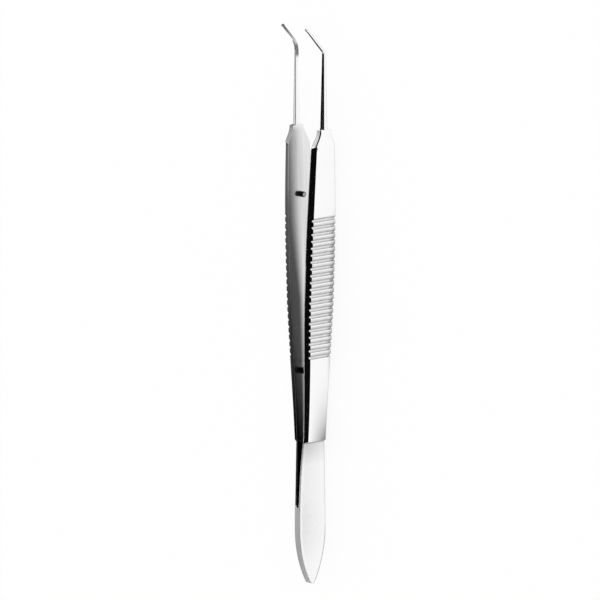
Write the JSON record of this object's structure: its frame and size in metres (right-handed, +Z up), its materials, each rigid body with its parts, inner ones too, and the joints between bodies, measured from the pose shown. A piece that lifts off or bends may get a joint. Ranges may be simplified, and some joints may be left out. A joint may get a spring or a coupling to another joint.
{
  "type": "thumb forceps",
  "caption": "Angled micro thumb forceps: two bowed spring arms welded at a pointed butt, grooved grips, slender shanks and fine upturned tips.",
  "frame": {"origin": "under the middle of the whole forceps, on the surface that its side edges lie on", "axes": "+Y from the welded butt to the tips, +X towards the right arm, +Z up, the way both tips bend"},
  "size_m": [0.0092, 0.1078, 0.0076],
  "materials": {
    "arm_steel": "bright polish on the handles and shanks, satin on the spring leaves",
    "pin_steel": "polished, dark"
  },
  "bodies": {
    "root": {"left_arm": "arm_steel", "right_arm": "arm_steel", "guide_pin": "pin_steel", "stop_pin": "pin_steel"}
  },
  "joints": []
}
